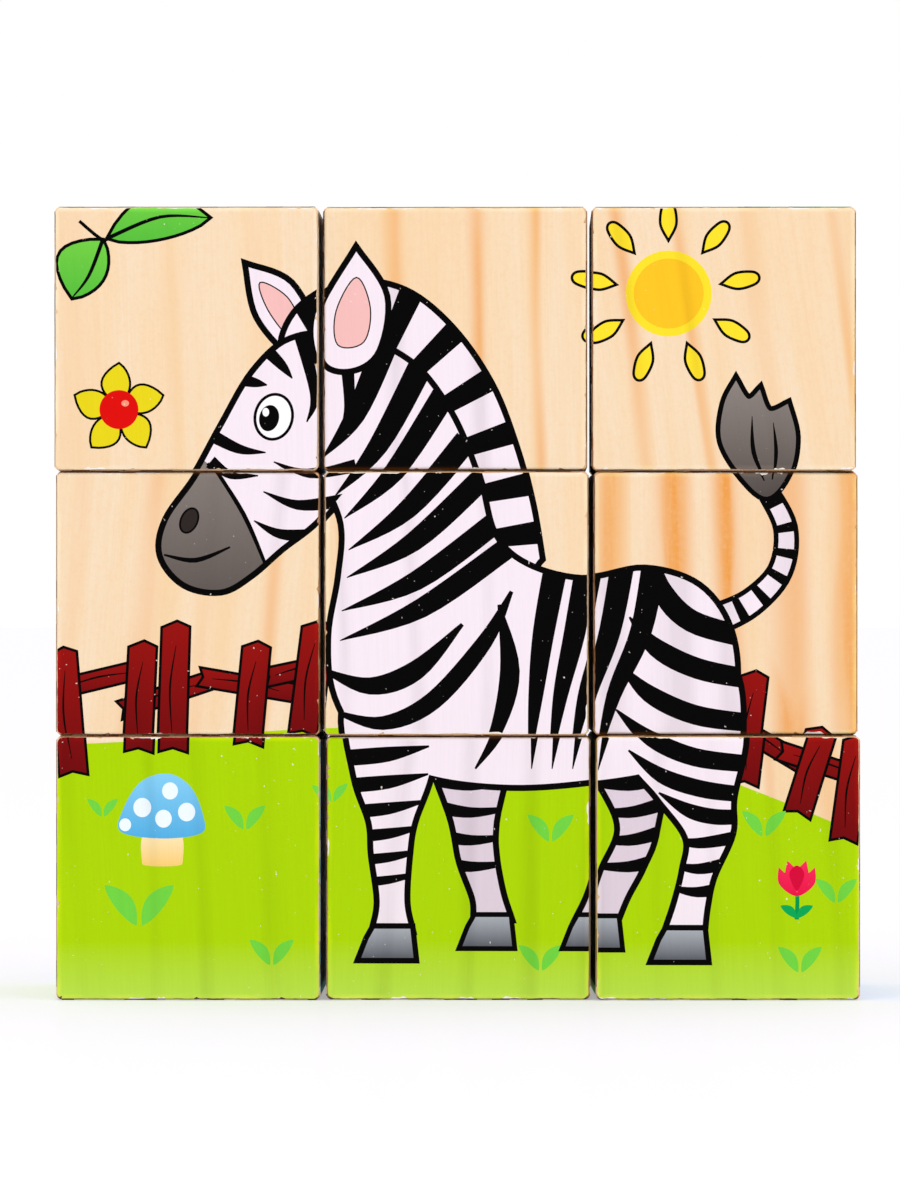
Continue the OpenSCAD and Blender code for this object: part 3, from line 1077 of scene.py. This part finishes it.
def put(tree, kind, inputs=(), **settings):
    """Adds a shader node. An input is given as a number, a colour or another node's output."""
    node = tree.nodes.new("ShaderNode" + kind)
    for key, value in settings.items():
        setattr(node, key, value)
    for socket, value in dict(inputs).items():
        if isinstance(value, bpy.types.NodeSocket):
            tree.links.new(value, node.inputs[socket])
        else:
            node.inputs[socket].default_value = value
    return node


def sums(tree, operation, *values):
    """A number worked out from others."""
    return put(tree, "Math", dict(enumerate(values)), operation=operation).outputs[0]


def vector(tree, operation, *values):
    """A vector worked out from others."""
    return put(tree, "VectorMath", dict(enumerate(values)), operation=operation).outputs[0]


def position(tree):
    """A point's place on the resting puzzle, in metres."""
    return put(tree, "TexCoord").outputs["Object"]


def noise(tree, where, scale, detail=2.0, roughness=0.5, kind="Fac"):
    """A smooth random pattern."""
    settings = {"Vector": where, "Scale": scale, "Detail": detail, "Roughness": roughness}
    return put(tree, "TexNoise", settings).outputs[kind]


def light_openness(tree, distance):
    """How open a point is to the light round it: 1 on a flat face, and less down in a joint; the materials
    use it to paint shade.
    """
    return put(tree, "AmbientOcclusion", {"Distance": distance}, samples=8).outputs["AO"]


def blend(tree, share, first, second, how="MIX"):
    """Two colours mixed."""
    node = put(tree, "Mix", {"Factor": share}, data_type="RGBA", blend_type=how)
    for socket, value in ((6, first), (7, second)):
        if isinstance(value, bpy.types.NodeSocket):
            tree.links.new(value, node.inputs[socket])
        else:
            node.inputs[socket].default_value = value
    return node.outputs[2]


def ramp(tree, value, *stops, soft=False):
    """A colour or a grey picked along a scale of (place, colour) stops."""
    node = put(tree, "ValToRGB", {"Fac": value})
    node.color_ramp.interpolation = "EASE" if soft else "LINEAR"
    stripes = node.color_ramp.elements
    for i, (place, colour) in enumerate(stops):
        stripe = stripes[i] if i < 2 else stripes.new(place)
        stripe.position = place
        stripe.color = colour if isinstance(colour, tuple) else (colour, colour, colour, 1)
    return node.outputs[0]


def opaque(red, green, blue):
    """A solid colour, given as a screen shows it."""
    return ink(red, green, blue, 1.0)


def new_material(name):
    """An empty node material with its shader."""
    material = bpy.data.materials.new(name)
    material.use_nodes = True
    tree = material.node_tree
    tree.nodes.clear()
    shader = put(tree, "BsdfPrincipled")
    output = put(tree, "OutputMaterial")
    tree.links.new(shader.outputs[0], output.inputs[0])
    return material, tree, shader


# Each cube's wood: how far apart its growth rings are in mm, how much of a ring is dark, how strongly
# that shows, where the heart of the tree lies from the cube's middle, and the grain's lean in degrees
GROWTH = (
    ((9.0, 0.16, 0.12, 30, 55, 2), (7.0, 0.15, 0.9, 34, 60, 1), (10.0, 0.14, 0.7, -42, 30, 8)),
    ((8.5, 0.18, 0.5, 44, 40, -5), (7.5, 0.16, 0.6, -30, 52, 2), (9.0, 0.42, 2.4, 62, 24, 1)),
    ((8.0, 0.18, 0.5, -40, 44, 3), (7.0, 0.16, 0.6, 26, 50, -2), (8.0, 0.18, 0.45, -50, 36, 2)),
)


def pine(tree, row, column):
    """Pine grain that runs up a cube: its growth rings, its broad streaks and its fibres."""
    chance = random.Random(f"pine {row} {column}")
    spacing, dark, contrast, heart_x, heart_y, lean = GROWTH[row][column]
    centre = cube_centre(row, column)
    local = vector(tree, "MULTIPLY_ADD", position(tree), (1 / MM,) * 3, tuple(-centre / MM))
    heart = (heart_x, heart_y, chance.uniform(0, 900))
    turn = (0, math.radians(lean), 0)
    log = put(tree, "Mapping", {"Vector": local, "Location": heart, "Rotation": turn}).outputs[0]
    stretched = vector(tree, "MULTIPLY", log, (1.0, 1.0, 0.12))
    sway = noise(tree, stretched, 0.07, kind="Color")
    swayed = vector(tree, "ADD", log, vector(tree, "MULTIPLY", sway, (7.0, 7.0, 0.0)))
    level = vector(tree, "MULTIPLY", swayed, (1, 1, 0))
    radius = put(tree, "VectorMath", {0: level}, operation="LENGTH").outputs["Value"]
    rings = sums(tree, "FRACT", sums(tree, "DIVIDE", radius, spacing))
    late = ramp(tree, rings, (0.5 - 1.4 * dark, 0.0), (0.5, 1.0), (0.5 + dark, 0.0), soft=True)
    uneven = vector(tree, "MULTIPLY", log, (1.0, 1.0, 0.2))
    strength = ramp(tree, noise(tree, uneven, 0.1, 1.0), (0.36, 0.25), (0.6, 1.0))
    strength = sums(tree, "MINIMUM", sums(tree, "MULTIPLY", strength, contrast), 1.0)
    late = sums(tree, "MULTIPLY", late, strength)
    broad = vector(tree, "MULTIPLY", swayed, (0.22, 0.22, 0.012))
    streaks = noise(tree, broad, 1.0)
    thin = vector(tree, "MULTIPLY", log, (3.2, 3.2, 0.09))
    fibres = noise(tree, thin, 1.0, 3.0, 0.65)
    return late, streaks, fibres


def bare_pine(name, row, column):
    """The block's own wood, seen at the edges between the films, with shade painted in where the cubes
    meet.
    """
    material, tree, shader = new_material(name)
    late, streaks, fibres = pine(tree, row, column)
    colour = blend(tree, late, opaque(250, 222, 182), opaque(222, 162, 96))
    colour = blend(tree, ramp(tree, streaks, (0.4, 0.0), (0.75, 0.5)), colour, opaque(236, 192, 136))
    colour = blend(tree, ramp(tree, fibres, (0.3, 0.0), (0.75, 0.45)), colour, opaque(208, 152, 92))
    # painted shade: the wood turns orange and then dark brown the deeper it lies in a joint between cubes
    open_to_light = light_openness(tree, 0.0016)
    colour = blend(tree, ramp(tree, open_to_light, (0.55, 0.85), (0.95, 0.0)), colour, opaque(200, 122, 54))
    colour = blend(tree, ramp(tree, open_to_light, (0.3, 0.95), (0.7, 0.0)), colour, opaque(62, 26, 4))
    rough = put(tree, "MapRange", {"Value": fibres, "To Min": 0.5, "To Max": 0.75}).outputs[0]
    bump = put(tree, "Bump", {"Height": fibres, "Strength": 0.35, "Distance": 0.0002}).outputs[0]
    finish_shader(tree, shader, colour, rough, bump)
    return material


def worn_rim(tree, row, column):
    """How far a film has paled with handling, which it does along the edges of its cube."""
    here = position(tree)
    local = vector(tree, "SUBTRACT", here, tuple(cube_centre(row, column)))
    turn = {"Vector": local, "Angle": -cube_turn(row, column)}
    straight_on = put(tree, "VectorRotate", turn, rotation_type="Z_AXIS").outputs[0]
    away = put(tree, "SeparateXYZ", {0: vector(tree, "ABSOLUTE", straight_on)}).outputs
    larger, smaller = (sums(tree, how, away[0], away[1]) for how in ("MAXIMUM", "MINIMUM"))
    from_middle = sums(tree, "MAXIMUM", smaller, sums(tree, "MINIMUM", larger, away[2]))
    patches = ramp(tree, noise(tree, here, 160.0, 3.0), (0.38, 0.3), (0.68, 1.0))
    edge = {"From Min": 0.019, "From Max": 0.0197, "To Max": 0.9}  # from 1 to 0.3 mm off the cube's side
    near = put(tree, "MapRange", {"Value": from_middle, **edge})
    return sums(tree, "MULTIPLY", near.outputs[0], patches)


def printed_film(name, row, column):
    """A clear satin film over pine, with the ink that the mesh carries and shade painted in where the cubes
    meet.
    """
    material, tree, shader = new_material(name)
    late, streaks, fibres = pine(tree, row, column)
    wood = blend(tree, late, opaque(244, 220, 188), opaque(236, 156, 70))
    wood = blend(tree, ramp(tree, streaks, (0.42, 0.0), (0.72, 0.55)), wood, opaque(243, 204, 150))
    wood = blend(tree, ramp(tree, fibres, (0.4, 0.0), (0.85, 0.35)), wood, opaque(236, 196, 146))
    shade_free_foot = 0.002  # no painted joint shade below this height, in metres
    where = position(tree)
    speck = noise(tree, where, 1500.0, roughness=0.7)
    wood = blend(tree, ramp(tree, speck, (0.45, 0.0), (0.75, 0.28)), wood, opaque(240, 196, 148))
    printed = put(tree, "VertexColor", layer_name="ink")
    grain = sums(tree, "ADD", late, sums(tree, "MULTIPLY", fibres, 0.5))
    shade = ramp(tree, grain, (0.15, 1.0), (1.0, 0.84))
    colour = blend(tree, 1.0, printed.outputs["Color"], shade, "MULTIPLY")
    colour = blend(tree, printed.outputs["Alpha"], wood, colour)
    colour = blend(tree, worn_rim(tree, row, column), colour, opaque(232, 226, 216), "OVERLAY")
    # painted shade: the film darkens to brown down in the joints between cubes, but not near the floor
    joint = ramp(tree, light_openness(tree, 0.0012), (0.45, 0.9), (0.9, 0.0))
    height = put(tree, "SeparateXYZ", {0: where}).outputs["Z"]
    joint = sums(tree, "MULTIPLY", joint, sums(tree, "GREATER_THAN", height, shade_free_foot))
    colour = blend(tree, joint, colour, opaque(92, 48, 8))
    dust = ramp(tree, noise(tree, where, 1700.0, 1.0), (0.765, 0.0), (0.81, 0.7))
    dust = sums(tree, "MULTIPLY", dust, printed.outputs["Alpha"])
    colour = blend(tree, dust, colour, opaque(244, 236, 226))
    haze = noise(tree, where, 120.0)
    rough = put(tree, "MapRange", {"Value": haze, "To Min": 0.24, "To Max": 0.42}).outputs[0]
    bump = put(tree, "Bump", {"Height": fibres, "Strength": 0.12, "Distance": 0.0001}).outputs[0]
    shader.inputs["Specular IOR Level"].default_value = 0.04
    finish_shader(tree, shader, colour, rough, bump)
    return material


def finish_shader(tree, shader, colour, rough, bump):
    """Joins a material's colour, roughness and relief to its shader."""
    for socket, value in (("Base Color", colour), ("Roughness", rough), ("Normal", bump)):
        tree.links.new(value, shader.inputs[socket])


# ---- the puzzle

PICTURES = {
    "front": zebra_picture(),
    "back": elephant_picture(),
    "top": giraffe_picture(),
    "bottom": whale_picture(),
    "left": tortoise_picture(),
    "right": duck_picture(),
}


def add_cube(row, column):
    """The wood of one block and the six films on it."""
    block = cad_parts[cad_name(row, column, "block")]
    block.data.materials.clear()
    block.data.materials.append(bare_pine(cad_name(row, column, "pine"), row, column))
    material = printed_film(cad_name(row, column, "film"), row, column)
    for face, picture in PICTURES.items():
        add_film(face, row, column, picture, material)


for row in range(3):
    for column in range(3):
        add_cube(row, column)


# ---- floor, light and camera


def add_floor():
    """A large white floor with a faint sheen."""
    glow_share, sheen_share = 0.33, 0.03
    reach = 12.0
    height = -0.00002  # just clear of the cubes' undersides
    material = bpy.data.materials.new("white_floor")
    material.use_nodes = True
    tree = material.node_tree
    tree.nodes.clear()
    white = put(tree, "BsdfDiffuse", {"Color": (0.955, 0.935, 1.0, 1)}).outputs[0]
    glow = put(tree, "Emission", {"Color": (1, 1, 1, 1), "Strength": 1.06}).outputs[0]
    lit = put(tree, "MixShader", {0: glow_share, 1: white, 2: glow}).outputs[0]
    sheen = put(tree, "BsdfGlossy", {"Color": (1, 1, 1, 1), "Roughness": 0.2}).outputs[0]
    mixed = put(tree, "MixShader", {0: sheen_share, 1: lit, 2: sheen}).outputs[0]
    put(tree, "OutputMaterial", {0: mixed})
    mesh = bpy.data.meshes.new("floor")
    corners = [(reach * x, reach * y, height) for x, y in ((-1, -1), (1, -1), (1, 1), (-1, 1))]
    mesh.from_pydata(corners, [], [(0, 1, 2, 3)])
    mesh.materials.append(material)
    floor = bpy.data.objects.new("floor", mesh)
    bpy.context.scene.collection.objects.link(floor)


def add_light(name, place, size, power):
    """A soft square lamp that faces the wall of cubes."""
    lamp = bpy.data.lights.new(name, "AREA")
    lamp.size = size
    lamp.energy = power
    holder = bpy.data.objects.new(name, lamp)
    holder.location = place
    aim = Vector((0, 0, 0.06)) - holder.location
    holder.rotation_euler = aim.to_track_quat("-Z", "Y").to_euler()
    bpy.context.scene.collection.objects.link(holder)


def add_world():
    """Even white light from all round."""
    world = bpy.data.worlds.new("white_room")
    world.use_nodes = True
    background = world.node_tree.nodes["Background"]
    background.inputs["Color"].default_value = (1, 1, 1, 1)
    background.inputs["Strength"].default_value = 1.0
    bpy.context.scene.world = world
    bpy.context.scene.view_settings.view_transform = "Standard"


def add_camera():
    """A long lens that looks straight at the front picture from a little way off."""
    distance = 0.9  # from the front of the wall
    frame_height = 0.1813  # how much of the wall's plane the picture shows from top to bottom
    camera = bpy.data.cameras.new("camera")
    camera.sensor_fit = "VERTICAL"
    camera.sensor_height = 36
    camera.lens = camera.sensor_height * distance / frame_height
    camera.clip_end = 40
    holder = bpy.data.objects.new("camera", camera)
    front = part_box("middle_centre_block")[0].y
    holder.location = (-0.0011, front - distance, 0.0605)
    holder.rotation_euler = (math.radians(90), 0, 0)
    bpy.context.scene.collection.objects.link(holder)
    bpy.context.scene.camera = holder


add_floor()
add_light("soft_left", (-0.9, -1.3, 1.3), 1.0, 3.0)
add_light("soft_right", (1.1, -1.0, 1.1), 1.0, 1.5)
add_world()
add_camera()
